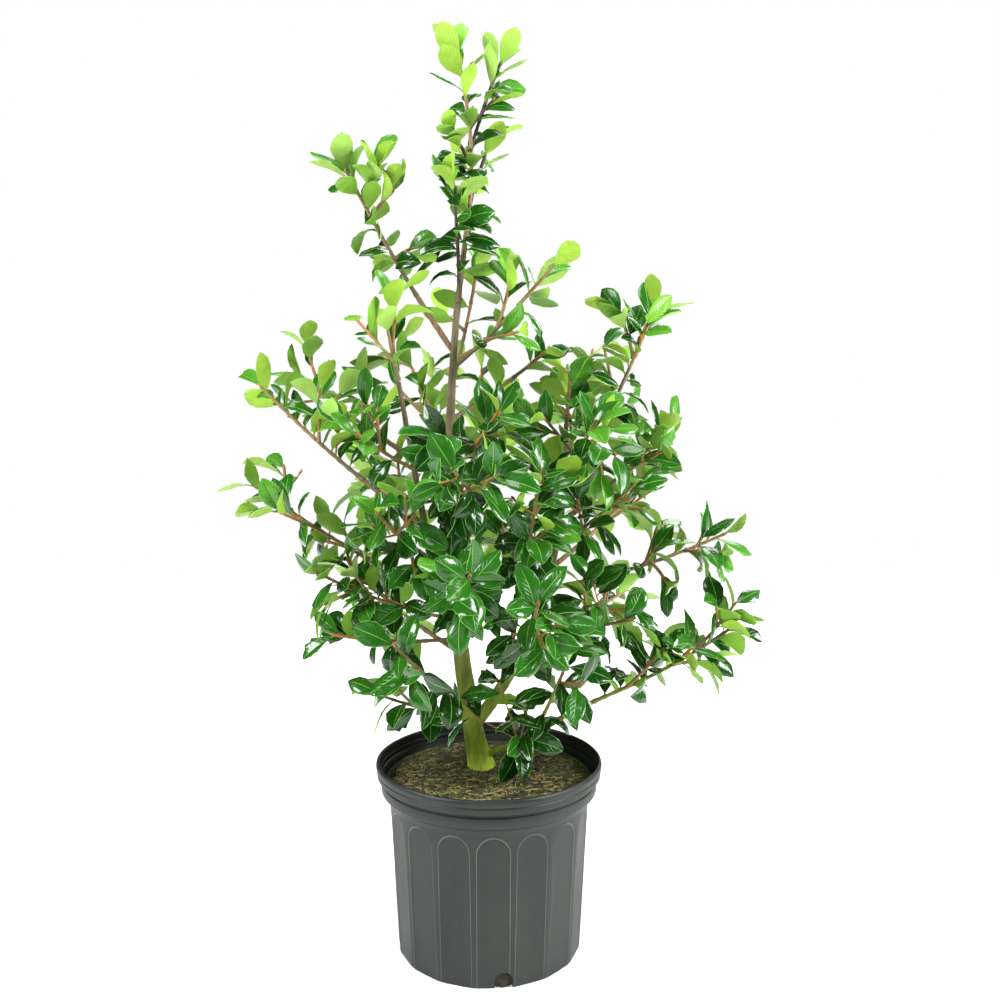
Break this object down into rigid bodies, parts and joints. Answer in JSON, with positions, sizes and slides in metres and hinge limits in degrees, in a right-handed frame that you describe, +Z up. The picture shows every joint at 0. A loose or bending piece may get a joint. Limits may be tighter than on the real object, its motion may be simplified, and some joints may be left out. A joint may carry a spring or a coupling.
{
  "type": "potted holly shrub",
  "caption": "Young evergreen holly shrub with a forked trunk, open conical crown and glossy leaves, growing in a round ribbed nursery pot.",
  "frame": {"origin": "middle of the pot's flat underside", "axes": "+Z up the trunk, -Y towards the viewer of the picture, +X to the viewer's right"},
  "size_m": [0.6613, 0.5273, 1.1193],
  "materials": {
    "pot_plastic": "satin dark grey moulded plastic",
    "potting_soil": "rough dark potting mix of bark and fibres",
    "trunk_bark": "olive grey bark, greener with algae at the foot",
    "bough_bark": "smooth brown bark",
    "foliage": "glossy dark green leaves on brown shoots"
  },
  "bodies": {
    "root": {"pot": "pot_plastic", "soil": "potting_soil", "trunk": "trunk_bark", "right_stem": "bough_bark", "left_stem": "bough_bark", "base_shoot": "bough_bark", "tall_left_bough": "bough_bark", "right_high_bough": "bough_bark", "right_outer_bough": "bough_bark", "right_mid_bough": "bough_bark", "low_right_bough": "bough_bark", "front_centre_bough": "bough_bark", "left_high_bough": "bough_bark", "left_mid_bough": "bough_bark", "left_back_bough": "bough_bark", "back_mid_bough": "bough_bark", "back_left_bough": "bough_bark", "back_right_bough": "bough_bark", "back_low_bough": "bough_bark", "back_low_left_bough": "bough_bark", "back_low_right_bough": "bough_bark", "leader_foliage": "foliage", "tall_left_foliage": "foliage", "upper_right_foliage": "foliage", "mid_right_foliage": "foliage", "right_top_foliage": "foliage", "right_high_foliage": "foliage", "right_outer_foliage": "foliage", "right_front_foliage": "foliage", "right_inner_foliage": "foliage", "right_mid_foliage": "foliage", "right_low_foliage": "foliage", "low_right_foliage": "foliage", "low_centre_foliage": "foliage", "foot_front_foliage": "foliage", "front_centre_foliage": "foliage", "front_right_foliage": "foliage", "front_mid_foliage": "foliage", "centre_high_foliage": "foliage", "centre_left_foliage": "foliage", "front_left_foliage": "foliage", "left_top_foliage": "foliage", "left_high_foliage": "foliage", "left_mid_foliage": "foliage", "left_low_foliage": "foliage", "left_drape_foliage": "foliage", "left_foot_foliage": "foliage", "left_lowest_foliage": "foliage", "left_front_foliage": "foliage", "left_inner_foliage": "foliage", "left_back_foliage": "foliage", "back_high_foliage": "foliage", "back_upper_left_foliage": "foliage", "back_upper_right_foliage": "foliage", "back_mid_foliage": "foliage", "back_left_foliage": "foliage", "back_right_foliage": "foliage", "back_low_foliage": "foliage", "back_low_left_foliage": "foliage", "back_low_right_foliage": "foliage"}
  },
  "joints": []
}
